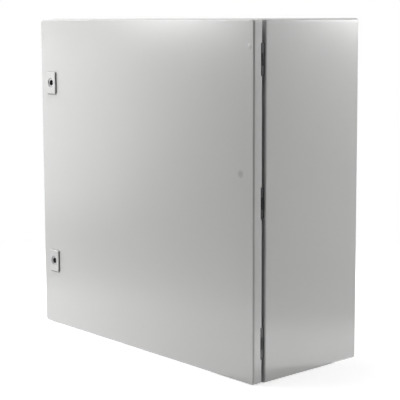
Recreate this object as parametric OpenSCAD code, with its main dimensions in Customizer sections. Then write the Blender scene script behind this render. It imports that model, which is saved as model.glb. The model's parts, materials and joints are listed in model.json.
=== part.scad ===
// Wall-mounted sheet steel enclosure: a folded body, a door on three hinges and two quarter-turn locks.
// Millimetres, +Z up. The door faces -Y and hangs on its +X edge. The origin is under the middle of the box.

/* [Enclosure] */
// Width over the side walls
enc_w = 600; // [500:10:800]
// Height of the body
enc_h = 600; // [500:10:1000]
// Depth from the front of the door to the back of the body
enc_d = 250; // [220:10:400]
// Thickness of the folded sheet
sheet_t = 1.5; // [1.2:0.1:2]
// Outer radius of every fold in the body and the door
fold_r = 3; // [2.5:0.1:4]
// Radius of the welded corners, seen from the front
corner_r = 6; // [5:0.5:10]

/* [Front rim] */
// Distance from the side wall to the lip that stands forward into the door
rim_w = 16; // [16:0.5:24]
// Corner radius of the opening inside the lip
opening_r = 12; // [10:1:20]
// Space between the closed door and the rim
door_gap = 7.2; // [7.2:0.2:12]

/* [Door] */
// How far the door's edges stay inside the outline of the body
door_inset = 1; // [0.5:0.1:1.5]
// Depth of the door pan
door_depth = 18; // [15:0.5:20]
// Width of the foamed gasket
gasket_w = 10; // [7:0.5:10]
// Height of the foamed gasket
gasket_h = 8; // [6:0.5:9]

/* [Hinges] */
// Distance from the top and the bottom of the body to the middle of the end hinges
hinge_end = 67; // [50:1:150]
// How far the hinges and the locks sit above an even spacing
hardware_lift = 2; // [0:0.5:10]
// Length of a hinge over its knuckles
hinge_len = 50; // [44:1:70]
// Length of the middle knuckle, which belongs to the body
mid_knuckle = 21.4; // [16:0.2:24]
// Radius of the knuckles
knuckle_r = 3.2; // [3:0.1:3.6]
// Radius of the hinge pin
pin_r = 1.6; // [1.2:0.1:1.8]
// Thickness of the leaf on the door
leaf_t = 3; // [2.5:0.1:3.2]
// Thickness of the foot of the leaf on the body
foot_t = 2; // [1.6:0.1:2.2]

/* [Locks] */
// Distance from the top and the bottom of the body to the lock axes
lock_end = 125; // [110:1:220]
// Width of the lock plate
lock_w = 28; // [24:0.5:34]
// Height of the lock plate
lock_h = 42; // [36:0.5:60]
// How far the lock plate stands proud of the door
lock_proud = 3.2; // [3:0.1:8]
// Radius of the threaded barrel
barrel_r = 9; // [8.8:0.1:10]
// Radius of the turning core
core_r = 7; // [6.5:0.1:7.2]
// Width of the cam
cam_w = 14; // [12:0.5:18]
// Thickness of the cam
cam_t = 3; // [2:0.5:4]
// Radius of the round key hole
key_r = 4.6; // [3.5:0.1:5]
// Radius of the pin in the key hole
key_pin_r = 1.5; // [1:0.1:1.8]
// Length of the slot for the bits of the key
bit_l = 11.8; // [9:0.2:11.8]
// Width of the slot for the bits of the key
bit_w = 3.4; // [2:0.1:3.6]

/* [Mounting plate] */
// Thickness of the mounting plate
plate_t = 2.5; // [2:0.5:4]
// Distance from the walls' outer faces to the edge of the mounting plate
plate_edge = 35; // [34:1:60]
// Distance from the back wall to the mounting plate
plate_standoff = 20; // [15:1:60]
// Distance from the edge of the mounting plate to its studs
stud_edge = 15; // [12:1:30]
// Radius of the mounting studs
stud_r = 4; // [3:0.5:5]

/* [Wall fixing] */
// Radius of the holes in the back wall
wall_hole_r = 4.25; // [3:0.25:5]
// Distance from the walls' outer faces to the holes
wall_hole_edge = 25; // [18:1:26]

/* [Cable entry] */
// Width of the cut-out in the floor
gland_w = 380; // [200:10:400]
// Depth of the cut-out in the floor
gland_d = 110; // [60:5:130]
// Lap of the gland plate around the cut-out
gland_lap = 15; // [14:1:20]
// Thickness of the gland plate
gland_t = 2; // [1.5:0.5:3]
// Thickness of the gasket under the gland plate
gland_seal_t = 3; // [2:0.5:4]

/* [Door rails] */
// Width of the perforated rails
rail_w = 25; // [20:1:30]
// Depth of the perforated rails
rail_d = 14; // [10:0.5:16]
// Distance from the top and the bottom of the body to the ends of the rails
rail_end = 80; // [60:5:150]
// Pitch of the holes along the rails
rail_pitch = 25; // [20:2.5:50]
// Radius of the holes along the rails
rail_hole_r = 2.25; // [1.5:0.25:3]

/* [Hidden] */
$fn = 64;

// Finishes
paint_grey = [0.80, 0.81, 0.79];
lock_grey = [0.74, 0.75, 0.74];
zinc_grey = [0.66, 0.68, 0.70];
steel_grey = [0.55, 0.56, 0.58];
core_grey = [0.45, 0.46, 0.47];
foam_black = [0.13, 0.13, 0.13];

// Clearances
fit = 0.05;
play = 0.3;
hole_play = 0.3;
side_play = 0.2;
cut = 1;

// Depths from the front of the door, before the whole box is centred on the origin
front_y = -(enc_d - lock_proud) / 2;
body_y = door_depth + door_gap;
rim_back_y = body_y + sheet_t;
back_y = enc_d - sheet_t;
lip_y = sheet_t + gasket_h + play;
mid_y = (body_y + enc_d) / 2;

// Outline of the rim, as distances from the walls' outer faces
lip_edge = rim_w + sheet_t;
lip_lap = 1;
gasket_mid = rim_w + sheet_t / 2;
gasket_out = gasket_mid - gasket_w / 2;
gasket_in = gasket_mid + gasket_w / 2;
opening_w = enc_w - 2 * lip_edge;
opening_h = enc_h - 2 * lip_edge;

// Door pan
door_w = enc_w - 2 * door_inset;
door_h = enc_h - 2 * door_inset;
door_wall_x = door_w / 2 - sheet_t;

// Hinges
knuckle_set = 0.8;
foot_clear = 0.5;
axis_x = enc_w / 2 - knuckle_r - knuckle_set;
axis_y = body_y - foot_t - foot_clear - knuckle_r;
rim_drop = body_y - axis_y;
neck_out = 0.9;
foot_x0 = enc_w / 2 - lip_edge + fold_r + side_play;
foot_x1 = axis_x + neck_out;
hinge_screw_r = 2;
hinge_screw_head_r = 3.5;
hinge_screw_head_t = 2.5;
hinge_screw_x = (foot_x0 + axis_x - knuckle_r) / 2;
hinge_screw_end = 7;
hinge_screw_z = hinge_len / 2 - hinge_screw_end;
end_knuckle = (hinge_len - mid_knuckle) / 2 - play;
notch_play = 0.6;
notch_d = max(door_depth - axis_y + knuckle_r, 0) + notch_play;
notch_end = 1.5;
web_x1 = door_wall_x - side_play;
web_x0 = web_x1 - leaf_t;
knuckle_clear = 2;
web_y1 = axis_y - knuckle_r - knuckle_clear;
tab_t = 2.5;
tab_x0 = enc_w / 2 - gasket_out + side_play;
hinge_stud_r = 1.5;
hinge_stud_len = 6.5;
hinge_nut_af = 5.5;
hinge_nut_t = 2.4;
hinge_stud_x = (enc_w / 2 - gasket_out + web_x0) / 2;
hinge_stud_end = 10;
hinge_stud_z = hinge_len / 2 - hinge_stud_end;
pin_head_lip = 1;
pin_head_r = pin_r + pin_head_lip;
pin_head_t = 1;
pin_tail = 0.5;
hinge_heights = [for (z = [enc_h - hinge_end, enc_h / 2, hinge_end]) z + hardware_lift];

// Locks
seal_t = 1;
lock_corner_r = 2.4;
lock_edge_r = 1.2;
lock_nut_af = 24;
lock_nut_t = 5;
lock_clear = 3.25;
lock_x = -(enc_w / 2 - gasket_in - lock_clear - lock_nut_af / 2);
lock_heights = [for (z = [enc_h - lock_end, lock_end]) z + hardware_lift];
barrel_spare = 6.5;
barrel_y = sheet_t + lock_nut_t + barrel_spare;
dish_d = 1.4;
dish_flare = 1.3;
core_head_lip = 0.9;
core_head_r = core_r + core_head_lip;
core_head_t = 1.5;
core_face_y = dish_d - lock_proud;
counterbore_r = core_head_r + play;
counterbore_y = core_face_y + core_head_t + side_play;
key_depth = 12;
key_pin_drop = 2;
key_angle = 45;
core_end_y = barrel_y + play;
clip_lip = 1.5;
clip_r = core_r + clip_lip;
clip_t = 1.5;
shaft_r = 5;
shaft_square = 7;
cam_gap = 0.5;
cam_y = rim_back_y + cam_gap;
cam_tip_edge = 8;
cam_len = enc_w / 2 + lock_x - cam_tip_edge;
cam_corner_r = 4;
cam_screw_r = 2.5;
cam_screw_len = 10;
cam_screw_af = 8;
cam_screw_head_t = 4;
cam_washer_r = 6;
cam_washer_t = 1.2;

// Mounting plate
plate_w = enc_w - 2 * plate_edge;
plate_h = enc_h - 2 * plate_edge;
plate_corner_r = 6;
plate_y = back_y - plate_standoff;
stud_x = plate_w / 2 - stud_edge;
stud_z = plate_h / 2 - stud_edge;
spacer_wall = 4;
washer_t = 1.6;
plate_nut_af = 13;
plate_nut_t = 6.5;
stud_spare = 5;
washer_y = plate_y - plate_t;
plate_nut_y = washer_y - washer_t;
stud_y = plate_nut_y - plate_nut_t - stud_spare;

// Cable entry
gland_corner_r = 5;
gland_stud_r = 3;
gland_nut_af = 10;
gland_nut_t = 5;
gland_plate_z = sheet_t + gland_seal_t;
gland_nut_z = gland_plate_z + gland_t;
gland_stud_spare = 3;
gland_stud_z = gland_nut_z + gland_nut_t + gland_stud_spare;
gland_stud_x = (gland_w + gland_lap) / 2;
gland_stud_y = (gland_d + gland_lap) / 2;

// Earth points
earth_r = 3;
earth_nut_af = 10;
earth_nut_t = 5;
earth_len = 18;
earth_gap = 30;
body_earth_x = gland_w / 2 + gland_lap + earth_gap;

// Door rails
rail_t = 1.5;
rail_fold_r = 2.5;
rail_gap = 8.5;
rail_x = -lock_x - lock_nut_af / 2 - rail_gap - rail_w / 2;
rail_len = enc_h - 2 * rail_end;
rail_hole_count = floor((rail_len - rail_pitch) / rail_pitch) + 1;
rail_foot = 18;
rail_stud_r = 2.5;
rail_nut_af = 8;
rail_nut_t = 4;
rail_stud_len = 10;
rail_stud_z = rail_len / 2 + rail_foot / 2;
door_earth_x = rail_x - rail_w / 2 - earth_gap;
door_earth_z = rail_end - rail_foot / 2;

// Moves the box so that the origin is under its middle
module placed() translate([0, front_y, 0]) children();

// Lifts a shape drawn about the middle of the door or the body to its height
module at_mid_height() translate([0, 0, enc_h / 2]) children();

// Runs a flat outline, drawn as seen from the front, from depth y0 back to depth y1
module along_y(y0, y1) translate([0, y1, 0]) rotate([90, 0, 0]) linear_extrude(y1 - y0) children();

// Repeats a shape at the four corners of a rectangle seen from the front
module at_corners(x, z) for (sx = [-1, 1], sz = [-1, 1]) translate([sx * x, 0, sz * z]) children();

module round_rect(w, h, r) {
    square([w - 2 * r, h], center = true);
    square([w, h - 2 * r], center = true);
    for (sx = [-1, 1], sy = [-1, 1]) translate([sx * (w / 2 - r), sy * (h / 2 - r)]) circle(r);
}

// A hexagon across flats, with flats to the left and the right
module hexagon(af) rotate(30) circle(r = af / 2 / cos(30), $fn = 6);

module hex_ring(af, bore) difference() {
    hexagon(af);
    circle(bore);
}

// Sweeps a profile round a rectangle of corner centres: x is outwards from the centres and y is the depth
module ring_sweep(w, h)
    for (turn = [0 : 3]) {
        reach = turn % 2 == 0 ? w : h;
        run = turn % 2 == 0 ? h : w;
        rotate([0, 90 * turn, 0]) translate([reach / 2, 0, -run / 2]) {
            linear_extrude(run) children();
            rotate([-90, 0, 0]) rotate_extrude(angle = 90) children();
        }
    }

// A box with corner radius rc seen from the front, and edge radius rf along its front and its back
module soft_box(w, h, y0, y1, rc, rf) {
    translate([rc - w / 2, y0, rc - h / 2]) cube([w - 2 * rc, y1 - y0, h - 2 * rc]);
    ring_sweep(w - 2 * rc, h - 2 * rc) intersection() {
        translate([0, (y0 + y1) / 2]) round_rect(2 * rc, y1 - y0, rf);
        translate([0, y0]) square([rc, y1 - y0]);
    }
}

// A closed skin of folded sheet
module folded_skin(w, h, y0, y1) difference() {
    soft_box(w, h, y0, y1, corner_r, fold_r);
    soft_box(
        w - 2 * sheet_t, h - 2 * sheet_t, y0 + sheet_t, y1 - sheet_t, corner_r - sheet_t, fold_r - sheet_t
    );
}

// The fold from the rim, which it laps, into the lip, whose inner face is opening_r from the corner centres
module lip_profile() {
    bend_x = opening_r + fold_r;
    bend_y = rim_back_y - fold_r;
    translate([opening_r, lip_y]) square([sheet_t, bend_y - lip_y]);
    intersection() {
        translate([bend_x, bend_y]) difference() {
            circle(fold_r);
            circle(fold_r - sheet_t);
        }
        translate([opening_r, bend_y]) square(fold_r);
    }
    translate([bend_x, body_y]) square([lip_lap, sheet_t]);
}

module rim_opening() along_y(body_y - cut, rim_back_y + cut)
    round_rect(opening_w + 2 * fold_r, opening_h + 2 * fold_r, opening_r + fold_r);

module hinge_screw_holes() for (z = hinge_heights, s = [-1, 1])
    translate([hinge_screw_x, 0, z + s * hinge_screw_z])
        along_y(body_y - cut, rim_back_y + cut) circle(hinge_screw_r + hole_play);

module wall_holes() at_mid_height() at_corners(enc_w / 2 - wall_hole_edge, enc_h / 2 - wall_hole_edge)
    along_y(back_y - cut, enc_d + cut) circle(wall_hole_r);

module gland_outline(w, d) translate([0, mid_y]) round_rect(w, d, gland_corner_r);

module body_shell() color(paint_grey) placed() difference() {
    union() {
        at_mid_height() difference() {
            folded_skin(enc_w, enc_h, body_y, enc_d);
            rim_opening();
        }
        at_mid_height() ring_sweep(opening_w - 2 * opening_r, opening_h - 2 * opening_r) lip_profile();
    }
    hinge_screw_holes();
    wall_holes();
    translate([0, 0, -cut]) linear_extrude(sheet_t + 2 * cut) gland_outline(gland_w, gland_d);
}

// Mounting plate and what holds it
module at_plate_studs() at_mid_height() at_corners(stud_x, stud_z) children();

module mounting_studs() color(zinc_grey) placed() at_plate_studs() along_y(stud_y, back_y) circle(stud_r);

module plate_spacers() color(zinc_grey) placed() at_plate_studs() along_y(plate_y, back_y) difference() {
    circle(stud_r + hole_play + spacer_wall);
    circle(stud_r + hole_play);
}

module mounting_plate() color(zinc_grey) placed() difference() {
    at_mid_height() along_y(washer_y, plate_y) round_rect(plate_w, plate_h, plate_corner_r);
    at_plate_studs() along_y(washer_y - cut, plate_y + cut) circle(stud_r + 2 * hole_play);
}

module plate_washers() color(zinc_grey) placed() at_plate_studs() along_y(plate_nut_y, washer_y)
    difference() {
        circle(2 * stud_r);
        circle(stud_r + hole_play);
    }

module plate_nuts() color(zinc_grey) placed() at_plate_studs()
    along_y(plate_nut_y - plate_nut_t, plate_nut_y) hex_ring(plate_nut_af, stud_r + fit);

// Cable entry
gland_stud_places = [
    for (i = [-1 : 1], j = [-1 : 1]) if (i != 0 || j != 0) [i * gland_stud_x, mid_y + j * gland_stud_y]
];

module gland_stud_holes() for (p = gland_stud_places) translate(p) circle(gland_stud_r + hole_play);

module gland_gasket() color(foam_black) placed() translate([0, 0, sheet_t]) linear_extrude(gland_seal_t)
    difference() {
        gland_outline(gland_w + 2 * gland_lap, gland_d + 2 * gland_lap);
        gland_outline(gland_w, gland_d);
        gland_stud_holes();
    }

module gland_plate() color(zinc_grey) placed() translate([0, 0, gland_plate_z]) linear_extrude(gland_t)
    difference() {
        gland_outline(gland_w + 2 * gland_lap, gland_d + 2 * gland_lap);
        gland_stud_holes();
    }

module gland_studs() color(zinc_grey) placed() for (p = gland_stud_places)
    translate([p.x, p.y, sheet_t]) cylinder(r = gland_stud_r, h = gland_stud_z - sheet_t);

module gland_nuts() color(zinc_grey) placed() for (p = gland_stud_places)
    translate([p.x, p.y, gland_nut_z]) linear_extrude(gland_nut_t) hex_ring(gland_nut_af, gland_stud_r + fit);

module body_earth_stud() color(zinc_grey) placed() translate([body_earth_x, mid_y, sheet_t])
    cylinder(r = earth_r, h = earth_len);

module body_earth_nut() color(zinc_grey) placed() translate([body_earth_x, mid_y, sheet_t])
    linear_extrude(earth_nut_t) hex_ring(earth_nut_af, earth_r + fit);

// Hinges
module at_hinge(z) translate([axis_x, axis_y, z]) children();

module pin_bore() cylinder(r = pin_r + fit, h = hinge_len + 2 * cut, center = true);

module hinge_body_leaf(z) color(steel_grey) placed() difference() {
    union() {
        at_hinge(z) linear_extrude(mid_knuckle, center = true) {
            circle(knuckle_r);
            translate([-knuckle_r, 0]) square([knuckle_r + neck_out, rim_drop]);
        }
        translate([foot_x0, body_y - foot_t, z - hinge_len / 2])
            cube([foot_x1 - foot_x0, foot_t, hinge_len]);
    }
    at_hinge(z) pin_bore();
    for (s = [-1, 1]) translate([hinge_screw_x, 0, z + s * hinge_screw_z])
        along_y(body_y - foot_t - cut, body_y + cut) circle(hinge_screw_r + fit);
}

module hinge_pin(z) color(steel_grey) placed() at_hinge(z) {
    translate([0, 0, -hinge_len / 2 - pin_tail]) cylinder(r = pin_r, h = hinge_len + pin_tail + side_play);
    translate([0, 0, hinge_len / 2 + side_play]) cylinder(r = pin_head_r, h = pin_head_t);
}

module hinge_body_screws() color(zinc_grey) placed() for (z = hinge_heights, s = [-1, 1])
    translate([hinge_screw_x, 0, z + s * hinge_screw_z]) {
        along_y(body_y - foot_t, rim_back_y) circle(hinge_screw_r);
        along_y(rim_back_y, rim_back_y + hinge_screw_head_t) circle(hinge_screw_head_r);
    }

module hinge_door_leaf(z) color(steel_grey) placed() difference() {
    union() {
        translate([0, 0, z]) linear_extrude(hinge_len, center = true) {
            translate([tab_x0, sheet_t]) square([door_wall_x - fold_r + sheet_t - tab_x0, tab_t]);
            translate([web_x0, fold_r]) square([leaf_t, web_y1 - fold_r]);
        }
        for (s = [-1, 1]) translate([0, 0, z + s * (hinge_len - end_knuckle) / 2])
            linear_extrude(end_knuckle, center = true) {
                translate([axis_x, axis_y]) circle(knuckle_r);
                translate([web_x0, fold_r]) square([leaf_t, axis_y - fold_r]);
            }
    }
    at_hinge(z) pin_bore();
    for (s = [-1, 1]) translate([hinge_stud_x, 0, z + s * hinge_stud_z])
        along_y(0, sheet_t + tab_t + cut) circle(hinge_stud_r + side_play);
}

module at_hinge_studs() for (z = hinge_heights, s = [-1, 1])
    translate([hinge_stud_x, 0, z + s * hinge_stud_z]) children();

module hinge_door_studs() color(zinc_grey) placed() at_hinge_studs()
    along_y(sheet_t, sheet_t + hinge_stud_len) circle(hinge_stud_r);

module hinge_door_nuts() color(zinc_grey) placed() at_hinge_studs()
    along_y(sheet_t + tab_t, sheet_t + tab_t + hinge_nut_t) hex_ring(hinge_nut_af, hinge_stud_r + fit);

// Door
module hinge_notches() for (z = hinge_heights)
    translate([door_wall_x - cut, door_depth - notch_d, z - hinge_len / 2 - notch_end])
        cube([sheet_t + 2 * cut, notch_d + cut, hinge_len + 2 * notch_end]);

// A pan with plain returns: a closed skin that is cut off at the depth of the door
module door_panel() color(paint_grey) placed() difference() {
    at_mid_height() difference() {
        folded_skin(door_w, door_h, 0, door_depth + 2 * fold_r);
        along_y(door_depth, door_depth + 2 * fold_r + cut) square([enc_w, enc_h], center = true);
    }
    hinge_notches();
    for (z = lock_heights) at_lock(z) along_y(-cut, sheet_t + cut) circle(barrel_r + hole_play);
}

module gasket_profile() translate([opening_r + sheet_t / 2, sheet_t]) {
    translate([-gasket_w / 2, 0]) square([gasket_w, gasket_h - gasket_w / 2]);
    intersection() {
        translate([0, gasket_h - gasket_w / 2]) circle(gasket_w / 2);
        translate([-gasket_w / 2, 0]) square([gasket_w, gasket_h]);
    }
}

module door_gasket() color(foam_black) placed() at_mid_height()
    ring_sweep(opening_w - 2 * opening_r, opening_h - 2 * opening_r) gasket_profile();

// A channel section that stands rail_d high and is open towards the door
module rail_section() intersection() {
    difference() {
        round_rect(rail_w, 2 * rail_d, rail_fold_r);
        round_rect(rail_w - 2 * rail_t, 2 * (rail_d - rail_t), rail_fold_r - rail_t);
    }
    translate([-rail_w / 2, 0]) square([rail_w, rail_d]);
}

module rail_end_section() intersection() {
    round_rect(rail_w, 2 * rail_d, rail_fold_r);
    translate([-rail_w / 2, 0]) square([rail_w, rail_d]);
}

module door_rail(side) color(zinc_grey) placed() at_mid_height() translate([side * rail_x, sheet_t, 0])
    difference() {
        union() {
            linear_extrude(rail_len, center = true) rail_section();
            for (s = [-1, 1]) translate([0, 0, s * (rail_len - rail_t) / 2])
                linear_extrude(rail_t, center = true) rail_end_section();
            for (s = [-1, 1]) translate([-rail_w / 2, 0, s * rail_stud_z - rail_foot / 2])
                cube([rail_w, rail_t, rail_foot]);
        }
        for (i = [0 : rail_hole_count - 1])
            translate([0, 0, (i - (rail_hole_count - 1) / 2) * rail_pitch])
                along_y(rail_d - rail_t - cut, rail_d + cut) circle(rail_hole_r);
        for (s = [-1, 1]) translate([0, 0, s * rail_stud_z])
            along_y(-cut, rail_t + cut) circle(rail_stud_r + hole_play);
    }

module at_rail_studs() at_mid_height() at_corners(rail_x, rail_stud_z) children();

module door_rail_studs() color(zinc_grey) placed() at_rail_studs()
    along_y(sheet_t, sheet_t + rail_stud_len) circle(rail_stud_r);

module door_rail_nuts() color(zinc_grey) placed() at_rail_studs()
    along_y(sheet_t + rail_t, sheet_t + rail_t + rail_nut_t) hex_ring(rail_nut_af, rail_stud_r + fit);

module door_earth_stud() color(zinc_grey) placed() translate([door_earth_x, 0, door_earth_z])
    along_y(sheet_t, sheet_t + earth_len) circle(earth_r);

module door_earth_nut() color(zinc_grey) placed() translate([door_earth_x, 0, door_earth_z])
    along_y(sheet_t, sheet_t + earth_nut_t) hex_ring(earth_nut_af, earth_r + fit);

// Locks
module at_lock(z) translate([lock_x, 0, z]) children();

module lock_housing(z) color(lock_grey) placed() at_lock(z) difference() {
    union() {
        intersection() {
            soft_box(lock_w, lock_h, -lock_proud, lock_proud, lock_corner_r, lock_edge_r);
            along_y(-lock_proud - cut, -seal_t) square([lock_w + cut, lock_h + cut], center = true);
        }
        along_y(-seal_t, barrel_y) circle(barrel_r);
    }
    translate([0, -lock_proud, 0]) rotate([-90, 0, 0])
        cylinder(r1 = counterbore_r + dish_flare, r2 = counterbore_r, h = dish_d);
    along_y(core_face_y, counterbore_y) circle(counterbore_r);
    along_y(counterbore_y - cut, barrel_y + cut) circle(core_r + fit);
}

module lock_seal(z) color(foam_black) placed() at_lock(z) along_y(-seal_t, 0) difference() {
    round_rect(lock_w, lock_h, lock_corner_r);
    circle(barrel_r + fit);
}

module lock_nut(z) color(zinc_grey) placed() at_lock(z)
    along_y(sheet_t, sheet_t + lock_nut_t) hex_ring(lock_nut_af, barrel_r + fit);

module key_hole() rotate(key_angle) {
    circle(key_r);
    square([bit_l, bit_w], center = true);
}

module lock_insert(z) color(core_grey) placed() at_lock(z) difference() {
    union() {
        along_y(core_face_y, core_face_y + core_head_t) circle(core_head_r);
        along_y(core_face_y, core_end_y) circle(core_r);
        along_y(core_end_y, cam_y) circle(shaft_r);
        along_y(cam_y, cam_y + cam_t - side_play) square(shaft_square, center = true);
    }
    difference() {
        along_y(core_face_y - cut, core_face_y + key_depth) key_hole();
        along_y(core_face_y + key_pin_drop, core_face_y + key_depth + cut) circle(key_pin_r);
    }
    along_y(cam_y - cam_screw_len, cam_y + cam_t + cut) circle(cam_screw_r + fit);
}

module lock_clip(z) color(steel_grey) placed() at_lock(z) along_y(core_end_y, core_end_y + clip_t)
    difference() {
        circle(clip_r);
        circle(shaft_r + fit);
    }

module lock_cam(z) color(zinc_grey) placed() at_lock(z) along_y(cam_y, cam_y + cam_t) difference() {
    translate([0, (cam_w / 2 - cam_len) / 2]) round_rect(cam_w, cam_len + cam_w / 2, cam_corner_r);
    square(shaft_square + 2 * fit, center = true);
}

module lock_cam_screw(z) color(zinc_grey) placed() at_lock(z) translate([0, cam_y + cam_t, 0]) {
    along_y(-cam_screw_len, 0) circle(cam_screw_r);
    along_y(0, cam_washer_t) circle(cam_washer_r);
    along_y(cam_washer_t, cam_washer_t + cam_screw_head_t) hexagon(cam_screw_af);
}

body_shell();
mounting_studs();
plate_spacers();
mounting_plate();
plate_washers();
plate_nuts();
gland_gasket();
gland_plate();
gland_studs();
gland_nuts();
body_earth_stud();
body_earth_nut();
hinge_body_leaf(hinge_heights[0]);  // hinge_body_leaf_top
hinge_body_leaf(hinge_heights[1]);  // hinge_body_leaf_middle
hinge_body_leaf(hinge_heights[2]);  // hinge_body_leaf_bottom
hinge_pin(hinge_heights[0]);  // hinge_pin_top
hinge_pin(hinge_heights[1]);  // hinge_pin_middle
hinge_pin(hinge_heights[2]);  // hinge_pin_bottom
hinge_body_screws();
door_panel();
door_gasket();
door_rail(-1);  // door_rail_left
door_rail(1);  // door_rail_right
door_rail_studs();
door_rail_nuts();
hinge_door_leaf(hinge_heights[0]);  // hinge_door_leaf_top
hinge_door_leaf(hinge_heights[1]);  // hinge_door_leaf_middle
hinge_door_leaf(hinge_heights[2]);  // hinge_door_leaf_bottom
hinge_door_studs();
hinge_door_nuts();
door_earth_stud();
door_earth_nut();
lock_housing(lock_heights[0]);  // lock_housing_upper
lock_housing(lock_heights[1]);  // lock_housing_lower
lock_seal(lock_heights[0]);  // lock_seal_upper
lock_seal(lock_heights[1]);  // lock_seal_lower
lock_nut(lock_heights[0]);  // lock_nut_upper
lock_nut(lock_heights[1]);  // lock_nut_lower
lock_insert(lock_heights[0]);  // lock_insert_upper
lock_insert(lock_heights[1]);  // lock_insert_lower
lock_clip(lock_heights[0]);  // lock_clip_upper
lock_clip(lock_heights[1]);  // lock_clip_lower
lock_cam(lock_heights[0]);  // lock_cam_upper
lock_cam(lock_heights[1]);  // lock_cam_lower
lock_cam_screw(lock_heights[0]);  // lock_cam_screw_upper
lock_cam_screw(lock_heights[1]);  // lock_cam_screw_lower
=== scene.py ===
"""Looks of a wall-mounted electrical enclosure: paint, plating, gaskets, threads, stage, light and camera."""

import json
import math

import bmesh
import bpy
from mathutils import Matrix, Quaternion, Vector


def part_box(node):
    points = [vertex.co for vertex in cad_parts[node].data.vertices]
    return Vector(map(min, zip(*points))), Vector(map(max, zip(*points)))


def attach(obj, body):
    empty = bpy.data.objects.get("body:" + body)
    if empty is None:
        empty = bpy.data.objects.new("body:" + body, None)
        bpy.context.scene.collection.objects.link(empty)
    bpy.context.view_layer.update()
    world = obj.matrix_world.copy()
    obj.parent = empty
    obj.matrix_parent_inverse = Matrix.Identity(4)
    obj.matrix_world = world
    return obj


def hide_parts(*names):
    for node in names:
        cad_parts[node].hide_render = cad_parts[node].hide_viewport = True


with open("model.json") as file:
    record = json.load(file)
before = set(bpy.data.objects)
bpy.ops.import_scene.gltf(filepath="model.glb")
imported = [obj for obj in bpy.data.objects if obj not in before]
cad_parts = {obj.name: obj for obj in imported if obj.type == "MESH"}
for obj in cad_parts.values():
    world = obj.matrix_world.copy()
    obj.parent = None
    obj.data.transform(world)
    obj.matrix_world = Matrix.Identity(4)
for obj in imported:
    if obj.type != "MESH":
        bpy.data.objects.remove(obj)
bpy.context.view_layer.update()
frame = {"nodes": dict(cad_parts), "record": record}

bl_info = {
    "name": "Electrical enclosure",
    "version": (1, 0, 0),
    "blender": (4, 5, 0),
    "location": "3D View > Sidebar > Enclosure",
    "description": "Finishes a sheet steel enclosure and sets it on a studio stage",
    "category": "Object",
}

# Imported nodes, by the finish that they share
BODY = "body_shell"
DOOR = "door_panel"
GALVANISED_NODES = ("mounting_plate", "gland_plate", "door_rail_left", "door_rail_right")
FOAM_NODES = ("door_gasket", "gland_gasket", "lock_seal_upper", "lock_seal_lower")
FASTENER_NODES = ("plate_spacers", "plate_washers", "hinge_body_screws")
HINGES = ("top", "middle", "bottom")
LOCKS = ("upper", "lower")
FORWARDS = (0.0, -1.0, 0.0)
BACKWARDS = (0.0, 1.0, 0.0)
UPWARDS = (0.0, 0.0, 1.0)
# Studs, the nuts on them, the way their tips point and the pitch of their threads
STUDS = (
    ("mounting_studs", "plate_nuts", FORWARDS, 0.00125),
    ("gland_studs", "gland_nuts", UPWARDS, 0.001),
    ("body_earth_stud", "body_earth_nut", UPWARDS, 0.001),
    ("door_rail_studs", "door_rail_nuts", BACKWARDS, 0.0008),
    ("hinge_door_studs", "hinge_door_nuts", BACKWARDS, 0.0005),
    ("door_earth_stud", "door_earth_nut", BACKWARDS, 0.001),
)

# Depth of a thread, and where its crest begins and ends, in pitches
THREAD_DEPTH = 0.6
THREAD_CREST = (0.4, 0.6)
# Steps in one turn of a thread, sides of a nut and cuts in each side
THREAD_STEPS = 16
NUT_SIDES = 6
NUT_CUTS = 4
# Round face of a nut as a part of its width, and the slope of its turned corners
NUT_FACE = 0.95
NUT_SLOPE = math.tan(math.radians(30.0))
# Angle from which an edge stays sharp, and distance within which vertices are one
SHARP_ANGLE = math.radians(30.0)
WELD = 1e-6

# Middle of a pattern's range
HALF = 0.5
# Middles of tone and roughness, and how far each pattern of a finish swings them, the coarse one first
COAT_ROUGH_SWINGS = (0.08, 0.06)
PLATING_TONE = 0.99
PLATING_TONE_SWINGS = (0.22, 0.08)
PLATING_ROUGH_SWINGS = (0.16, 0.05)
SHEET_TONE = 0.96
SHEET_TONE_SWINGS = (0.2, 0.06)
SHEET_ROUGHNESS = 0.42
SHEET_ROUGH_SWINGS = (0.16, 0.05)
FOAM_TONE = 1.0
FOAM_TONE_SWINGS = (0.4, 0.3)
FOAM_ROUGHNESS = 0.78
FOAM_ROUGH_SWINGS = (0.2,)
CORE_TONE = 0.975
CORE_TONE_SWINGS = (0.25,)
CORE_ROUGHNESS = 0.42
CORE_ROUGH_SWINGS = (0.12, 0.06)
CORE_METALLIC = 0.5
# Patterns in a metre
FINE_PER_CLOUD = 12.0
SHEET_FINE_PER_M = 700.0
DIMPLES_PER_M = 450.0
LUMPS_PER_M = 60.0
CORE_CLOUDS_PER_M = 260.0
CORE_FINE_PER_M = 2200.0
# Bends of the crystals' edges: how many for each crystal, and how far
BENDS_PER_SPANGLE = 2.0
SPANGLE_BEND = (0.004, 0.004, 0.004)
# Heights of the fine texture, and of the grain and the lumps beside the pattern that they are added to
METAL_HEIGHT = 0.00002
FOAM_HEIGHT = 0.0002
GRAIN_PER_FLOW = 0.6
LUMP_PER_DIMPLE = 2.0

# Depths behind a lock core's face over which it turns black: dark metal in the key hole, with painted shade
KEY_DEPTH = (0.0001, 0.0008)
# Radius of the ring of painted shade round the key hole, the part of it that fades, and how black it and the
# hole are
KEY_RING = 0.0066
KEY_RING_EDGE = 0.3
KEY_BLACK = 0.96
# Depths behind a lock plate's face over which painted shade darkens its sides
PLATE_SIDE = (0.0006, 0.0020)
# Distances below a lock plate's top over which that painted shade ends
PLATE_TOP = (0.003, 0.001)
# The painted shadow that a plate leaves on the door: how far it shows below, and how softly it ends
FOOT_BELOW = 0.0015
FOOT_SIDE_SOFT = 0.0015
FOOT_END_SOFT = 0.0020
# The dent's painted shade, a dark rim: how far it lies to the lower right, and its size beside the dent
DENT_SHADE_SHIFT = 0.003
DENT_SHADE_SCALE = 1.2
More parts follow.
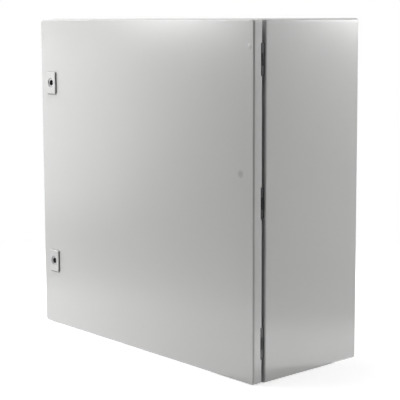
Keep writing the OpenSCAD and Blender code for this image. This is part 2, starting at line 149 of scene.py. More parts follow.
# Depth over which the dent, the smudge and the painted shade on the front fade out, round the door's edge
FRONT_FADE = 0.001

# Sockets of a Mix node that hold colours: its two inputs and its output
MIX_FIRST = 6
MIX_SECOND = 7
MIX_RESULT = 2

WHITE = (1.0, 1.0, 1.0, 1.0)
# Colour of the floor, and the glow that lifts it towards white where it is seen
FLOOR_GREY = (0.8, 0.8, 0.8, 1.0)
FLOOR_LIFT = 0.6
# Squared distances between which the floor fades to white
FLOOR_FADE = (0.16, 1.2)
SENSOR_WIDTH = 36.0
# Soft lamps: name, place, point aimed at, width, height and power in watts
LAMPS = (
    ("left_softbox", (-1.5, -0.45, 0.9), (-0.2, -0.12, 0.4), 1.0, 1.0, 6.6),
    ("near_softbox", (-1.15, -0.75, 0.75), (-0.1, -0.1, 0.35), 0.9, 1.2, 2.3),
    ("low_softbox", (-1.2, -0.6, 0.3), (-0.2, -0.1, 0.2), 0.8, 0.5, 1.9),
)
# Lamps that don't show in the gloss of the paint, given in the same way
WASHES = (
    ("front_wash", (-0.9, -1.2, 0.8), (-0.1, -0.12, 0.4), 0.8, 0.8, 5.0),
    ("low_wash", (-0.55, -0.55, 0.12), (-0.2, -0.12, 0.1), 0.3, 0.15, 0.35),
    ("over_wash", (-0.2, -0.45, 1.8), (-0.2, -0.1, 0.3), 0.9, 0.6, 13.5),
    ("top_wash", (-0.2, 0.4, 1.7), (-0.2, 0.4, 0.0), 0.8, 0.9, 7.0),
    ("right_wash", (1.6, 1.9, 0.6), (0.3, 0.0, 0.3), 0.8, 0.8, 21.5),
    ("right_near_wash", (1.1, 1.1, 0.9), (0.3, 0.05, 0.45), 0.5, 0.6, 6.0),
)
# Cards that show only in the gloss of the paint, given in the same way, with a spin in degrees
CARDS = (
    ("front_floor_card", (-0.15, -0.235, 0.0005), (-0.15, -0.235, 1.0), 1.2, 0.5, 2.3, 25.0),
    ("side_floor_card", (0.42, 0.12, 0.0005), (0.42, 0.12, 1.0), 0.26, 1.0, 1.7, -30.0),
    ("front_glow_card", (-0.48, -0.638, 0.80), (0.1, -0.098, 0.6), 0.24, 0.46, 3.7),
    ("side_glow_card", (0.71, 0.73, 0.80), (0.3, 0.12, 0.6), 0.34, 0.46, 5.2),
    ("side_back_card", (0.62, 0.80, 0.66), (0.3, 0.14, 0.58), 0.24, 0.3, 2.2),
)


# Shader building

class Value:
    """A shader output: an expression of these adds the Math nodes that work it out."""

    def __init__(self, shader, socket):
        self.shader = shader
        self.socket = socket

    def math(self, operation, first, second):
        return self.shader.node("ShaderNodeMath", {"operation": operation}, {0: first, 1: second})

    def __add__(self, other):
        return self.math("ADD", self, other)

    __radd__ = __add__

    def __sub__(self, other):
        return self.math("SUBTRACT", self, other)

    def __rsub__(self, other):
        return self.math("SUBTRACT", other, self)

    def __mul__(self, other):
        return self.math("MULTIPLY", self, other)

    __rmul__ = __mul__

    def __truediv__(self, other):
        return self.math("DIVIDE", self, other)

    def largest(self, other):
        return self.math("MAXIMUM", self, other)

    def step(self, low, high):
        """Rises smoothly from 0 at low to 1 at high."""
        return self.shader.node(
            "ShaderNodeMapRange", {"interpolation_type": "SMOOTHSTEP"},
            {"Value": self, "From Min": low, "From Max": high},
        )


class Shader:
    """The nodes of a material or of the world, added one at a time."""

    def __init__(self, tree):
        self.tree = tree
        self.tree.nodes.clear()

    def node(self, kind, settings=None, inputs=None, output=0):
        """Adds a node, sets it up, feeds its sockets and returns one of its outputs, or each of a tuple."""
        made = self.tree.nodes.new(kind)
        for name, value in (settings or {}).items():
            setattr(made, name, value)
        for name, value in (inputs or {}).items():
            socket = made.inputs[name]
            if isinstance(value, Value):
                self.tree.links.new(value.socket, socket)
            else:
                socket.default_value = value
        if isinstance(output, tuple):
            return [Value(self, made.outputs[one]) for one in output]
        return Value(self, made.outputs[output]) if made.outputs else None

    def seen_directly(self):
        """1 for what the camera, a reflection or a clear part sees, and 0 for light that bounces."""
        rays = ("Is Camera Ray", "Is Glossy Ray", "Is Transmission Ray")
        camera, glossy, clear = self.node("ShaderNodeLightPath", output=rays)
        return camera.largest(glossy).largest(clear)


class Finish(Shader):
    """A material, with the patterns that its finish is made of."""

    def __init__(self, name):
        self.material = bpy.data.materials.new(name)
        self.material.use_nodes = True
        super().__init__(self.material.node_tree)

    def place(self):
        return self.node("ShaderNodeTexCoord", output="Object")

    def axes(self, place):
        """The three numbers of a place."""
        return self.node("ShaderNodeSeparateXYZ", None, {0: place}, ("X", "Y", "Z"))

    def noise(self, place, scale, detail=2.0, roughness=0.5):
        return self.node(
            "ShaderNodeTexNoise", None,
            {"Vector": place, "Scale": scale, "Detail": detail, "Roughness": roughness}, "Fac",
        )

    def shade(self, colour, factor):
        """Multiplies a colour by a number that varies."""
        grey = self.node("ShaderNodeCombineColor", None, dict.fromkeys(("Red", "Green", "Blue"), factor))
        return self.node(
            "ShaderNodeMix", {"data_type": "RGBA", "blend_type": "MULTIPLY"},
            {"Factor": 1.0, MIX_FIRST: (*colour, 1.0), MIX_SECOND: grey}, MIX_RESULT,
        )

    def nook(self, reach):
        """How far a surface is hemmed in by its own piece within reach: 0 in the open, whatever the pose."""
        return 1.0 - self.node("ShaderNodeAmbientOcclusion", {"only_local": True}, {"Distance": reach}, "AO")

    def bump(self, height, distance):
        return self.node("ShaderNodeBump", None, {"Height": height, "Distance": distance, "Strength": 1.0})

    def end(self, shader):
        """Ends the material in a shader."""
        self.node("ShaderNodeOutputMaterial", None, {"Surface": shader})
        return self.material

    def surface(self, inputs):
        """Ends the material in a Principled shader with these inputs."""
        return self.end(self.node("ShaderNodeBsdfPrincipled", None, inputs))


def vary(middle, patterns, swings):
    """A number that each pattern swings about its middle."""
    for pattern, swing in zip(patterns, swings):
        middle = middle + (pattern - HALF) * swing
    return middle


def spot(across, up, x, z, radius):
    """1 in the middle of a round spot on the front, and 0 outside it."""
    side = (across - x) / radius
    rise = (up - z) / radius
    return 1.0 - (side * side + rise * rise).step(0.0, 1.0)


def band(value, low, high, soft):
    """1 between low and high, and 0 from a soft width outside them."""
    return value.step(low - soft, low) * (1.0 - value.step(high, high + soft))


# Finishes

def powder_coat(name, colour, paint, marks_and_shade=None):
    """A matt powder coat: fine grain, faint flow in the film, tones that drift over the sheet, and painted
    shade in its folds and corners.
    """
    finish = Finish(name)
    place = finish.place()
    grain = finish.noise(place, paint.grain_per_m, roughness=0.6)
    flow = finish.noise(place, paint.flow_per_m)
    drift = finish.noise(place, paint.drift_per_m, detail=3.0)
    tone = vary(1.0, (drift,), (paint.tone_drift,))
    # Painted shade: the coat darkens where its own piece hems it in, in folds and corners
    tone = tone * (1.0 - finish.nook(paint.nook_reach) * paint.painted_nook_shade)
    rough = vary(paint.roughness, (drift, grain), COAT_ROUGH_SWINGS)
    height = grain * GRAIN_PER_FLOW + flow
    if marks_and_shade is not None:
        tone, rough, height = marks_and_shade(finish, place, tone, rough, height)
    return finish.surface({
        "Base Color": finish.shade(colour, tone),
        "Roughness": rough,
        "Normal": finish.bump(height, paint.film_height),
    })


def door_marks_and_shade(marks_and_shade):
    """Adds a dent with a painted highlight and a rim of painted shade, a smudge, and the painted shadow under
    the lock plates to the paint on the door's front.
    """
    def add(finish, place, tone, rough, height):
        across, back, up = finish.axes(place)
        on_front = 1.0 - back.step(marks_and_shade.front_y, marks_and_shade.front_y + FRONT_FADE)
        # Painted highlight in the dent and painted shade on its rim to the lower right; its height goes to the
        # bump
        dent = spot(across, up, marks_and_shade.dent_x, marks_and_shade.dent_z, marks_and_shade.dent_radius) * on_front
        rim = spot(
            across, up, marks_and_shade.dent_x + DENT_SHADE_SHIFT, marks_and_shade.dent_z - DENT_SHADE_SHIFT, marks_and_shade.dent_radius * DENT_SHADE_SCALE,
        ) * on_front
        smudge = spot(across, up, marks_and_shade.smudge_x, marks_and_shade.smudge_z, marks_and_shade.smudge_radius) * on_front
        upper, lower = (plate_painted_shadow(across, up, f"lock_housing_{lock}") for lock in LOCKS)
        # Painted shadow of the lock plates on the door
        painted_shade = (upper + lower) * on_front
        light = dent * marks_and_shade.dent_painted_highlight
        dark = rim * marks_and_shade.dent_painted_shade + smudge * marks_and_shade.smudge_shade + painted_shade * marks_and_shade.foot_painted_shadow
        return (
            tone * (1.0 + light - dark),
            rough - smudge * marks_and_shade.smudge_gloss,
            height + dent * marks_and_shade.dent_height,
        )
    return add


def plate_painted_shadow(across, up, plate):
    """1 on the door behind a lock plate and in a thin line under it, where its painted shadow falls, and 0
    away from it.
    """
    low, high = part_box(plate)
    beside = band(across, low.x, high.x, FOOT_SIDE_SOFT)
    return beside * band(up, low.z - FOOT_BELOW, high.z - PLATE_TOP[0], FOOT_END_SOFT)


def lock_painted_shade(plate, marks_and_shade):
    """Paints shade on the sides of a lock plate towards the door, all but its top side."""
    low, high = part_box(plate)

    def add(finish, place, tone, rough, height):
        _, back, up = finish.axes(place)
        side = back.step(*(low.y + depth for depth in PLATE_SIDE))
        painted_shade = side * (1.0 - up.step(*(high.z - below for below in PLATE_TOP)))
        return tone * (1.0 - painted_shade * marks_and_shade.plate_painted_shade), rough, height
    return add


def plated(name, colour, roughness, cloud_per_m):
    """A plated metal with a cloudy, slightly uneven shine."""
    finish = Finish(name)
    place = finish.place()
    cloud = finish.noise(place, cloud_per_m, detail=4.0, roughness=0.6)
    fine = finish.noise(place, cloud_per_m * FINE_PER_CLOUD)
    return finish.surface({
        "Base Color": finish.shade(colour, vary(PLATING_TONE, (cloud, fine), PLATING_TONE_SWINGS)),
        "Metallic": 1.0,
        "Roughness": vary(roughness, (cloud, fine), PLATING_ROUGH_SWINGS),
        "Normal": finish.bump(fine, METAL_HEIGHT),
    })


def galvanised(name, colour, spangle_per_m):
    """Galvanised sheet, with flat crystals of slightly different shine."""
    finish = Finish(name)
    place = finish.place()
    bent = finish.noise(place, spangle_per_m * BENDS_PER_SPANGLE)
    shifted = finish.node("ShaderNodeVectorMath", {"operation": "MULTIPLY_ADD"}, {
        0: finish.node("ShaderNodeCombineXYZ", None, dict.fromkeys("XYZ", bent)),
        1: SPANGLE_BEND,
        2: place,
    })
    crystal = finish.node(
        "ShaderNodeTexVoronoi", {"feature": "F1"}, {"Vector": shifted, "Scale": spangle_per_m}, "Color",
    )
    shine = finish.node("ShaderNodeSeparateColor", None, {0: crystal})
    fine = finish.noise(place, SHEET_FINE_PER_M)
    return finish.surface({
        "Base Color": finish.shade(colour, vary(SHEET_TONE, (shine, fine), SHEET_TONE_SWINGS)),
        "Metallic": 1.0,
        "Roughness": vary(SHEET_ROUGHNESS, (shine, fine), SHEET_ROUGH_SWINGS),
        "Normal": finish.bump(fine, METAL_HEIGHT),
    })


def foam(name, colour):
    """A foamed strip: matt, with a skin of small dimples."""
    finish = Finish(name)
    place = finish.place()
    dimples = finish.noise(place, DIMPLES_PER_M, detail=3.0, roughness=0.6)
    lumps = finish.noise(place, LUMPS_PER_M)
    return finish.surface({
        "Base Color": finish.shade(colour, vary(FOAM_TONE, (lumps, dimples), FOAM_TONE_SWINGS)),
        "Roughness": vary(FOAM_ROUGHNESS, (dimples,), FOAM_ROUGH_SWINGS),
        "Normal": finish.bump(dimples + lumps * LUMP_PER_DIMPLE, FOAM_HEIGHT),
    })


def key_core(name, colour, core):
    """A plated lock core, black in its key hole, partly dark metal and partly painted shade, and in a ring of
    painted shade round it.
    """
    low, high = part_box(core)
    middle = (low + high) / 2
    finish = Finish(name)
    place = finish.place()
    cloud = finish.noise(place, CORE_CLOUDS_PER_M, detail=3.0)
    fine = finish.noise(place, CORE_FINE_PER_M)
    across, back, up = finish.axes(place)
    # Painted shade: a black ring round the key hole, and black deep inside it
    ring = spot(across, up, middle.x, middle.z, KEY_RING).step(0.0, KEY_RING_EDGE)
    black = back.step(*(low.y + depth for depth in KEY_DEPTH)).largest(ring)
    tone = vary(CORE_TONE, (cloud,), CORE_TONE_SWINGS) * (1.0 - black * KEY_BLACK)
    return finish.surface({
        "Base Color": finish.shade(colour, tone),
        "Metallic": CORE_METALLIC * (1.0 - black),
        "Roughness": vary(CORE_ROUGHNESS, (cloud, fine), CORE_ROUGH_SWINGS),
        "Normal": finish.bump(fine, METAL_HEIGHT),
    })


def studio_white():
    """A white floor that keeps the shadow close to the box and fades into the white behind it."""
    finish = Finish("studio_floor")
    across, along, _ = finish.axes(finish.place())
    far = (across * across + along * along).step(*FLOOR_FADE)
    shaded = finish.node("ShaderNodeBsdfDiffuse", None, {"Color": FLOOR_GREY})
    lift = finish.node("ShaderNodeEmission", None, {"Color": WHITE, "Strength": FLOOR_LIFT})
    near = finish.node("ShaderNodeAddShader", None, {0: shaded, 1: lift})
    white = finish.node("ShaderNodeEmission", None, {"Color": WHITE, "Strength": 1.0})
    seen = finish.node("ShaderNodeMixShader", None, {0: far, 1: near, 2: white})
    both = finish.node("ShaderNodeMixShader", None, {0: finish.seen_directly(), 1: shaded, 2: seen})
    return finish.end(both)


# Settings

class PaintSettings(bpy.types.PropertyGroup):
    """Colour and texture of the powder coat, and the painted shade in its folds and corners."""

    colour: bpy.props.FloatVectorProperty(
        name="Paint", description="Colour of the powder coat", subtype="COLOR", size=3,
        default=(0.60, 0.60, 0.592), min=0.0, max=1.0,
    )
    lock_colour: bpy.props.FloatVectorProperty(
        name="Lock plate", description="Colour of the coated lock plates", subtype="COLOR", size=3,
        default=(0.62, 0.62, 0.612), min=0.0, max=1.0,
    )
    roughness: bpy.props.FloatProperty(
        name="Roughness", description="Roughness of the coat", subtype="FACTOR",
        default=0.24, min=0.0, max=1.0,
    )
    grain_per_m: bpy.props.FloatProperty(
        name="Grain", description="Grains of the coat in a metre", default=900.0,
    )
    flow_per_m: bpy.props.FloatProperty(
        name="Flow", description="Waves of the film in a metre", default=170.0,
    )
    drift_per_m: bpy.props.FloatProperty(
        name="Drift", description="Drifts of tone in a metre", default=4.0,
    )
    tone_drift: bpy.props.FloatProperty(
        name="Tone drift", description="How far the tone drifts", subtype="FACTOR", default=0.03,
    )
    # Painted shade in folds and corners: how far it reaches and how dark it is
    nook_reach: bpy.props.FloatProperty(
        name="Nook reach", description="Distance within which a piece hems itself in", unit="LENGTH",
        default=0.03, precision=4,
    )
    painted_nook_shade: bpy.props.FloatProperty(
        name="Nook shade", description="How far the coat darkens in folds and corners", subtype="FACTOR",
        default=0.9,
    )
    film_height: bpy.props.FloatProperty(
        name="Film height", description="Height of the grain", unit="LENGTH", default=0.00004, precision=6,
    )


class MarkAndShadeSettings(bpy.types.PropertyGroup):
    """Places and strengths of the dent, the smudge and the painted highlight, shade and shadows on the door's
    front and at its lock plates.
    """

    front_y: bpy.props.FloatProperty(
        name="Front", description="Depth of the door's front face", unit="LENGTH", default=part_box(DOOR)[0].y,
    )
    dent_x: bpy.props.FloatProperty(
        name="Dent across", description="Place of the dent across the door", unit="LENGTH", default=0.2878,
    )
    dent_z: bpy.props.FloatProperty(
        name="Dent height", description="Height of the dent", unit="LENGTH", default=0.558,
    )
    dent_radius: bpy.props.FloatProperty(
        name="Dent radius", description="Radius of the dent", unit="LENGTH", default=0.0045,
    )
    dent_height: bpy.props.FloatProperty(
        name="Dent depth", description="Height of the dent in grains", default=6.0,
    )
    # Painted highlight in the dent and painted shade on its rim
    dent_painted_highlight: bpy.props.FloatProperty(
        name="Dent light", description="How far the dent is lighter", subtype="FACTOR", default=0.2,
    )
    dent_painted_shade: bpy.props.FloatProperty(
        name="Rim shade", description="How far the dent's rim is darker", subtype="FACTOR", default=0.14,
    )
    smudge_x: bpy.props.FloatProperty(
        name="Smudge across", description="Place of the smudge across the door", unit="LENGTH", default=0.268,
    )
    smudge_z: bpy.props.FloatProperty(
        name="Smudge height", description="Height of the smudge", unit="LENGTH", default=0.349,
    )
    smudge_radius: bpy.props.FloatProperty(
        name="Smudge radius", description="Radius of the smudge", unit="LENGTH", default=0.008,
    )
    smudge_shade: bpy.props.FloatProperty(
        name="Smudge shade", description="How far the smudge is darker", subtype="FACTOR", default=0.24,
    )
    smudge_gloss: bpy.props.FloatProperty(
        name="Smudge gloss", description="How far the smudge is less rough", subtype="FACTOR", default=0.06,
    )
    # Painted shadow under the lock plates
    foot_painted_shadow: bpy.props.FloatProperty(
        name="Foot shade", description="How far the door is darker under the lock plates", subtype="FACTOR",
        default=0.62,
    )
    # Painted shade on the sides of the lock plates
    plate_painted_shade: bpy.props.FloatProperty(
        name="Plate shade", description="How far the lock plates' sides are darker", subtype="FACTOR",
        default=0.88,
    )


class HardwareSettings(bpy.types.PropertyGroup):
    """Colours of the metal parts and the gaskets."""

    zinc: bpy.props.FloatVectorProperty(
        name="Zinc plate", description="Colour of the plated fasteners", subtype="COLOR", size=3,
        default=(0.50, 0.505, 0.505), min=0.0, max=1.0,
    )
    sheet: bpy.props.FloatVectorProperty(
        name="Galvanised sheet", description="Colour of the galvanised sheet", subtype="COLOR", size=3,
        default=(0.42, 0.43, 0.44), min=0.0, max=1.0,
    )
    hinge: bpy.props.FloatVectorProperty(
        name="Hinges", description="Colour of the hinge leaves on the door, and of the pins", subtype="COLOR",
        size=3, default=(0.055, 0.055, 0.056), min=0.0, max=1.0,
    )
    # Painted shade: the body leaves are a darker copy of the hinge steel
    hinge_shaded: bpy.props.FloatVectorProperty(
        name="Hinge body leaves", description="Colour of the hinge leaves on the body", subtype="COLOR",
        size=3, default=(0.02, 0.02, 0.021), min=0.0, max=1.0,
    )
    core: bpy.props.FloatVectorProperty(
        name="Lock cores", description="Colour of the turning lock cores", subtype="COLOR", size=3,
        default=(0.42, 0.42, 0.415), min=0.0, max=1.0,
    )
    foam: bpy.props.FloatVectorProperty(
        name="Foam", description="Colour of the gaskets", subtype="COLOR", size=3,
        default=(0.022, 0.022, 0.023), min=0.0, max=1.0,
    )
    barrel_radius: bpy.props.FloatProperty(
        name="Lock barrel", description="Radius of the lock barrels in their nuts", unit="LENGTH",
        default=0.00905,
    )
    spangle_per_m: bpy.props.FloatProperty(
        name="Spangle", description="Crystals of the galvanised sheet in a metre", default=110.0,
    )


class StageSettings(bpy.types.PropertyGroup):
    """Camera and floor."""

    camera_place: bpy.props.FloatVectorProperty(
        name="Camera", description="Place of the camera", unit="LENGTH", subtype="XYZ", size=3,
        default=(1.6861, -1.4653, 0.6047),
    )
    camera_yaw: bpy.props.FloatProperty(
        name="Yaw", description="Turn of the camera from +Y towards +X", subtype="ANGLE",
        default=math.radians(-48.512),
    )
    camera_pitch: bpy.props.FloatProperty(
        name="Pitch", description="Tilt of the camera above the horizon", subtype="ANGLE",
        default=math.radians(-7.151),
    )
    camera_roll: bpy.props.FloatProperty(
        name="Roll", description="Roll of the camera", subtype="ANGLE", default=math.radians(-0.234),
    )
    camera_lens: bpy.props.FloatProperty(
        name="Lens", description="Focal length in millimetres", default=108.99,
    )
    camera_shift_y: bpy.props.FloatProperty(
        name="Shift", description="Upward shift of the lens, in picture widths", default=-0.0810,
    )
    floor_size: bpy.props.FloatProperty(
        name="Floor", description="Width of the floor", unit="LENGTH", default=30.0,
    )


# Pieces

def paint_node(name, material):
    """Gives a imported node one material."""
    mesh = frame["nodes"][name].data
    mesh.materials.clear()
    mesh.materials.append(material)


class ENCLOSURE_OT_paint_sheet(bpy.types.Operator):
    """Paint the body and the door"""

    bl_idname = "enclosure.paint_sheet"
    bl_label = "Paint the sheet"

    def execute(self, context):
        paint = context.scene.enclosure_paint
        marks_and_shade = context.scene.enclosure_marks
        paint_node(BODY, powder_coat("powder_coat", paint.colour, paint))
        paint_node(DOOR, powder_coat("door_powder_coat", paint.colour, paint, door_marks_and_shade(marks_and_shade)))
        return {"FINISHED"}


class ENCLOSURE_OT_finish_locks(bpy.types.Operator):
    """Finish the lock plates, cores, cams and clips"""

    bl_idname = "enclosure.finish_locks"
    bl_label = "Finish the locks"

    def execute(self, context):
        paint = context.scene.enclosure_paint
        marks_and_shade = context.scene.enclosure_marks
        hardware = context.scene.enclosure_hardware
        zinc = plated("lock_zinc", hardware.zinc, roughness=0.32, cloud_per_m=40.0)
        clip = plated("clip_steel", hardware.hinge, roughness=0.35, cloud_per_m=60.0)
        for lock in LOCKS:
            plate = f"lock_housing_{lock}"
            # The plate's coat carries painted shade on its sides
            coat = powder_coat(f"lock_coat_{lock}", paint.lock_colour, paint, lock_painted_shade(plate, marks_and_shade))
            paint_node(plate, coat)
            core = f"lock_insert_{lock}"
            paint_node(core, key_core(f"lock_core_{lock}", hardware.core, core))
            paint_node(f"lock_clip_{lock}", clip)
            for piece in ("cam", "cam_screw"):
                paint_node(f"lock_{piece}_{lock}", zinc)
        return {"FINISHED"}


class ENCLOSURE_OT_finish_hinges(bpy.types.Operator):
    """Finish the hinge leaves and pins, the body leaves darker as painted shade"""

    bl_idname = "enclosure.finish_hinges"
    bl_label = "Finish the hinges"

    def execute(self, context):
        hardware = context.scene.enclosure_hardware
        steel = plated("hinge_steel", hardware.hinge, roughness=0.32, cloud_per_m=50.0)
        # Painted shade: the body leaves take a darker copy of the same steel
        shaded_steel = plated("hinge_shaded_steel", hardware.hinge_shaded, roughness=0.32, cloud_per_m=50.0)
        for hinge in HINGES:
            paint_node(f"hinge_body_leaf_{hinge}", shaded_steel)
            for piece in ("door_leaf", "pin"):
                paint_node(f"hinge_{piece}_{hinge}", steel)
        return {"FINISHED"}


class ENCLOSURE_OT_finish_gaskets(bpy.types.Operator):
    """Finish the foamed gaskets and seals"""

    bl_idname = "enclosure.finish_gaskets"
    bl_label = "Finish the gaskets"

    def execute(self, context):
        black = foam("gasket_foam", context.scene.enclosure_hardware.foam)
        for name in FOAM_NODES:
            paint_node(name, black)
        return {"FINISHED"}


class ENCLOSURE_OT_finish_plates(bpy.types.Operator):
    """Finish the galvanised plates and rails"""

    bl_idname = "enclosure.finish_plates"
    bl_label = "Finish the plates"

    def execute(self, context):
        hardware = context.scene.enclosure_hardware
        sheet = galvanised("galvanised_sheet", hardware.sheet, hardware.spangle_per_m)
        for name in GALVANISED_NODES:
            paint_node(name, sheet)
        return {"FINISHED"}


class ENCLOSURE_OT_finish_fasteners(bpy.types.Operator):
    """Finish the washers, spacers and screws"""

    bl_idname = "enclosure.finish_fasteners"
    bl_label = "Finish the fasteners"

    def execute(self, context):
        hardware = context.scene.enclosure_hardware
        zinc = plated("fastener_zinc", hardware.zinc, roughness=0.3, cloud_per_m=60.0)
        for name in FASTENER_NODES:
            paint_node(name, zinc)
        return {"FINISHED"}


# Studs and nuts

def new_piece(name, bm, material):
    """Links a bmesh as a new object with one material, smooth but for its sharp edges."""
    mesh = bpy.data.meshes.new(name)
    bm.to_mesh(mesh)
    bm.free()
    mesh.materials.append(material)
    mesh.shade_smooth()
    mesh.set_sharp_from_angle(angle=SHARP_ANGLE)
    piece = bpy.data.objects.new(name, mesh)
    bpy.context.scene.collection.objects.link(piece)
    return piece


def stand_for(piece, node):
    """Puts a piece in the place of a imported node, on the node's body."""
    bodies = frame["record"]["behaviour"]["bodies"]
    subparts = frame["record"]["subparts"]
    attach(piece, next(body for body, nodes in bodies.items() if node in nodes))
    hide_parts(node)
    next(part["material_slot"] for part in subparts if part["node"] == node)


def solids(node):
    """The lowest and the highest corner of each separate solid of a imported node."""
    bm = bmesh.new()
    bm.from_mesh(frame["nodes"][node].data)
    bmesh.ops.remove_doubles(bm, verts=bm.verts, dist=WELD)
    boxes = []
    for first in bm.verts:
        group = [] if first.tag else [first]
        for vert in group:
            vert.tag = True
            near = [edge.other_vert(vert) for edge in vert.link_edges]
            fresh = [other for other in near if not other.tag]
            for other in fresh:
                other.tag = True
            group.extend(fresh)
        if group:
            corners = list(zip(*(vert.co for vert in group)))
            boxes.append((Vector(map(min, corners)), Vector(map(max, corners))))
    bm.free()
    return boxes


def stood_up(low, high, way):
    """Where a shape built up from the origin goes: its place and turn, its length and its width across."""
    way = Vector(way)
    middle = (low + high) / 2
    length = abs((high - low).dot(way))
    place = Matrix.Translation(middle - way * length / 2)
    turn = Vector(UPWARDS).rotation_difference(way).to_matrix().to_4x4()
    return place @ turn, length, high.x - low.x


def threaded_rod(radius, pitch, length):
    """A rod up from the origin: a tooth swept up a helix, cut flat at its ends, with a lead-in at the tip."""
    bm = bmesh.new()
    depth = pitch * THREAD_DEPTH
    root = radius - depth
    crest = [(radius, part * pitch) for part in THREAD_CREST]
    tooth = [(root, 0.0), *crest, (root, pitch)]
    verts = [bm.verts.new((across, 0.0, up - pitch)) for across, up in tooth]
    edges = [bm.edges.new(pair) for pair in zip(verts, verts[1:])]
    turns = math.ceil(length / pitch) + 1
    bmesh.ops.spin(
        bm, geom=verts + edges, cent=(0.0, 0.0, 0.0), axis=UPWARDS,
        dvec=(0.0, 0.0, pitch / THREAD_STEPS), angle=math.tau * turns, steps=THREAD_STEPS * turns,
    )
    bmesh.ops.remove_doubles(bm, verts=bm.verts, dist=WELD)
    for up, outwards in ((0.0, -1.0), (length, 1.0)):
        bmesh.ops.bisect_plane(
            bm, geom=bm.verts[:] + bm.edges[:] + bm.faces[:], dist=WELD,
            plane_co=(0.0, 0.0, up), plane_no=(0.0, 0.0, outwards), clear_outer=True,
        )
    caps = bmesh.ops.edgeloop_fill(bm, edges=[edge for edge in bm.edges if edge.is_boundary])["faces"]
    bmesh.ops.recalc_face_normals(bm, faces=bm.faces)
    tip = max(caps, key=lambda face: face.calc_center_median().z)
    bmesh.ops.inset_region(bm, faces=[tip], thickness=depth, use_even_offset=False)
    kept = set(tip.verts)
    shoulder = [vert for vert in bm.verts if vert not in kept and vert.co.z > length - WELD]
    bmesh.ops.translate(bm, verts=shoulder, vec=(0.0, 0.0, -depth))
    return bm


def hexagon_nut(width, height, bore):
    """A bored hexagon with turned corners, up from the origin, and flats to the left and the right."""
    bm = bmesh.new()
    bmesh.ops.create_circle(bm, segments=NUT_SIDES, radius=width / 2 / math.cos(math.pi / NUT_SIDES))
    bmesh.ops.subdivide_edges(bm, edges=bm.edges[:], cuts=NUT_CUTS)
    bmesh.ops.create_circle(bm, segments=NUT_SIDES * (NUT_CUTS + 1), radius=bore)
    bmesh.ops.bridge_loops(bm, edges=bm.edges[:])
    risen = bmesh.ops.extrude_face_region(bm, geom=bm.faces[:])["geom"]
    bmesh.ops.translate(
        bm, verts=[part for part in risen if isinstance(part, bmesh.types.BMVert)], vec=(0.0, 0.0, height),
    )
    bmesh.ops.recalc_face_normals(bm, faces=bm.faces)
    for vert in bm.verts:
        drop = max(vert.co.xy.length - width / 2 * NUT_FACE, 0.0) * NUT_SLOPE
        vert.co.z += drop if vert.co.z < height / 2 else -drop
    return bm


def gather(whole, part, matrix):
    """Moves one bmesh into another, in its place."""
    bmesh.ops.transform(part, matrix=matrix, verts=part.verts)
    mesh = bpy.data.meshes.new("part")
    part.to_mesh(mesh)
    part.free()
    whole.from_mesh(mesh)
    bpy.data.meshes.remove(mesh)


class ENCLOSURE_OT_cut_threads(bpy.types.Operator):
    """Put threaded studs in the place of the plain ones"""

    bl_idname = "enclosure.cut_threads"
    bl_label = "Thread the studs"

    def execute(self, context):
        hardware = context.scene.enclosure_hardware
        zinc = plated("stud_zinc", hardware.zinc, roughness=0.3, cloud_per_m=60.0)
        for studs, _, way, pitch in STUDS:
            whole = bmesh.new()
            for low, high in solids(studs):
                matrix, length, width = stood_up(low, high, way)
                gather(whole, threaded_rod(width / 2, pitch, length), matrix)
            stand_for(new_piece(f"{studs}_threaded", whole, zinc), studs)
        return {"FINISHED"}


class ENCLOSURE_OT_turn_nuts(bpy.types.Operator):
    """Put nuts with turned corners in the place of the plain ones"""

    bl_idname = "enclosure.turn_nuts"
    bl_label = "Turn the nuts"

    def execute(self, context):
        hardware = context.scene.enclosure_hardware
        zinc = plated("nut_zinc", hardware.zinc, roughness=0.26, cloud_per_m=80.0)
        made = [(nuts, stood_up(*solids(studs)[0], way)[2] / 2, way) for studs, nuts, way, _ in STUDS]
        made += [(f"lock_nut_{lock}", hardware.barrel_radius, BACKWARDS) for lock in LOCKS]
        for nuts, bore, way in made:
            whole = bmesh.new()
            for low, high in solids(nuts):
                matrix, length, width = stood_up(low, high, way)
                gather(whole, hexagon_nut(width, length, bore), matrix)
            stand_for(new_piece(f"{nuts}_turned", whole, zinc), nuts)
        return {"FINISHED"}


# Stage

def make_floor(size):
    """Lays a square floor under the box."""
    bm = bmesh.new()
    bmesh.ops.create_grid(bm, x_segments=1, y_segments=1, size=size / 2)
    floor = new_piece("studio_floor", bm, studio_white())


def make_world():
    """A world that is white where it is seen, and lights nothing."""
    world = bpy.data.worlds.new("studio")
    world.use_nodes = True
    shader = Shader(world.node_tree)
    white = shader.node("ShaderNodeBackground", None, {"Color": WHITE, "Strength": shader.seen_directly()})
    shader.node("ShaderNodeOutputWorld", None, {"Surface": white})
    bpy.context.scene.world = world


def softbox(name, place, aim, width, height, power, spin=0.0):
    """A soft rectangular lamp at a place, turned to a point and spun about its own axis."""
    lamp = bpy.data.lights.new(name, "AREA")
    lamp.shape = "RECTANGLE"
    lamp.size = width
    lamp.size_y = height
    lamp.energy = power
    holder = bpy.data.objects.new(name, lamp)
    holder.location = place
    facing = (Vector(aim) - Vector(place)).to_track_quat("-Z", "Y")
    holder.rotation_euler = (facing @ Quaternion(UPWARDS, math.radians(spin))).to_euler()
    holder.visible_camera = False
    bpy.context.scene.collection.objects.link(holder)
    return holder


def make_camera(stage):
    """Sets up the camera that the photo was taken from."""
    lens = bpy.data.cameras.new("photo_camera")
    lens.sensor_width = SENSOR_WIDTH
    lens.sensor_fit = "HORIZONTAL"
    lens.lens = stage.camera_lens
    lens.shift_y = stage.camera_shift_y
    camera = bpy.data.objects.new("photo_camera", lens)
    yaw = Matrix.Rotation(-stage.camera_yaw, 4, "Z")
    pitch = Matrix.Rotation(math.pi / 2 + stage.camera_pitch, 4, "X")
    roll = Matrix.Rotation(stage.camera_roll, 4, "Z")
    camera.matrix_world = Matrix.Translation(stage.camera_place) @ yaw @ pitch @ roll
    bpy.context.scene.collection.objects.link(camera)
    bpy.context.scene.camera = camera


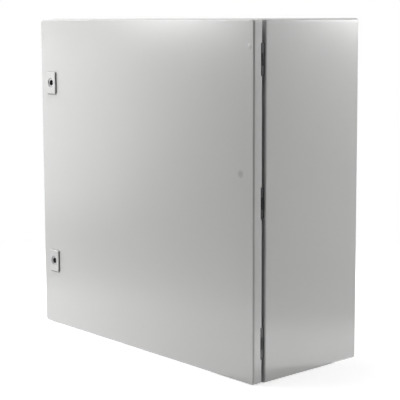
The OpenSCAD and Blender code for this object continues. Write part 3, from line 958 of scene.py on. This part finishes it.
class ENCLOSURE_OT_set_stage(bpy.types.Operator):
    """Set the floor, the light and the camera"""

    bl_idname = "enclosure.set_stage"
    bl_label = "Set the stage"

    def execute(self, context):
        stage = context.scene.enclosure_stage
        context.scene.view_settings.view_transform = "Standard"
        make_floor(stage.floor_size)
        make_world()
        for lamp in LAMPS:
            softbox(*lamp)
        for wash in WASHES:
            softbox(*wash).visible_glossy = False
        for card in CARDS:
            softbox(*card).visible_diffuse = False
        make_camera(stage)
        return {"FINISHED"}


class ENCLOSURE_PT_finishes(bpy.types.Panel):
    """Settings and steps of the enclosure"""

    bl_label = "Electrical enclosure"
    bl_idname = "ENCLOSURE_PT_finishes"
    bl_space_type = "VIEW_3D"
    bl_region_type = "UI"
    bl_category = "Enclosure"

    def draw(self, context):
        for name, group in GROUPS.items():
            box = self.layout.box()
            for setting in group.__annotations__:
                box.prop(getattr(context.scene, name), setting)
        for step in STEPS:
            self.layout.operator(step.bl_idname)


GROUPS = {
    "enclosure_paint": PaintSettings,
    "enclosure_marks": MarkAndShadeSettings,
    "enclosure_hardware": HardwareSettings,
    "enclosure_stage": StageSettings,
}
STEPS = (
    ENCLOSURE_OT_paint_sheet,
    ENCLOSURE_OT_finish_locks,
    ENCLOSURE_OT_finish_hinges,
    ENCLOSURE_OT_finish_gaskets,
    ENCLOSURE_OT_finish_plates,
    ENCLOSURE_OT_finish_fasteners,
    ENCLOSURE_OT_cut_threads,
    ENCLOSURE_OT_turn_nuts,
    ENCLOSURE_OT_set_stage,
)
CLASSES = (*GROUPS.values(), *STEPS, ENCLOSURE_PT_finishes)


def register():
    for made in CLASSES:
        bpy.utils.register_class(made)
    for name, group in GROUPS.items():
        setattr(bpy.types.Scene, name, bpy.props.PointerProperty(type=group))


def unregister():
    for name in GROUPS:
        delattr(bpy.types.Scene, name)
    for made in reversed(CLASSES):
        bpy.utils.unregister_class(made)


def main():
    register()
    for step in STEPS:
        group, name = step.bl_idname.split(".")
        getattr(getattr(bpy.ops, group), name)()


if __name__ == "__main__":
    main()
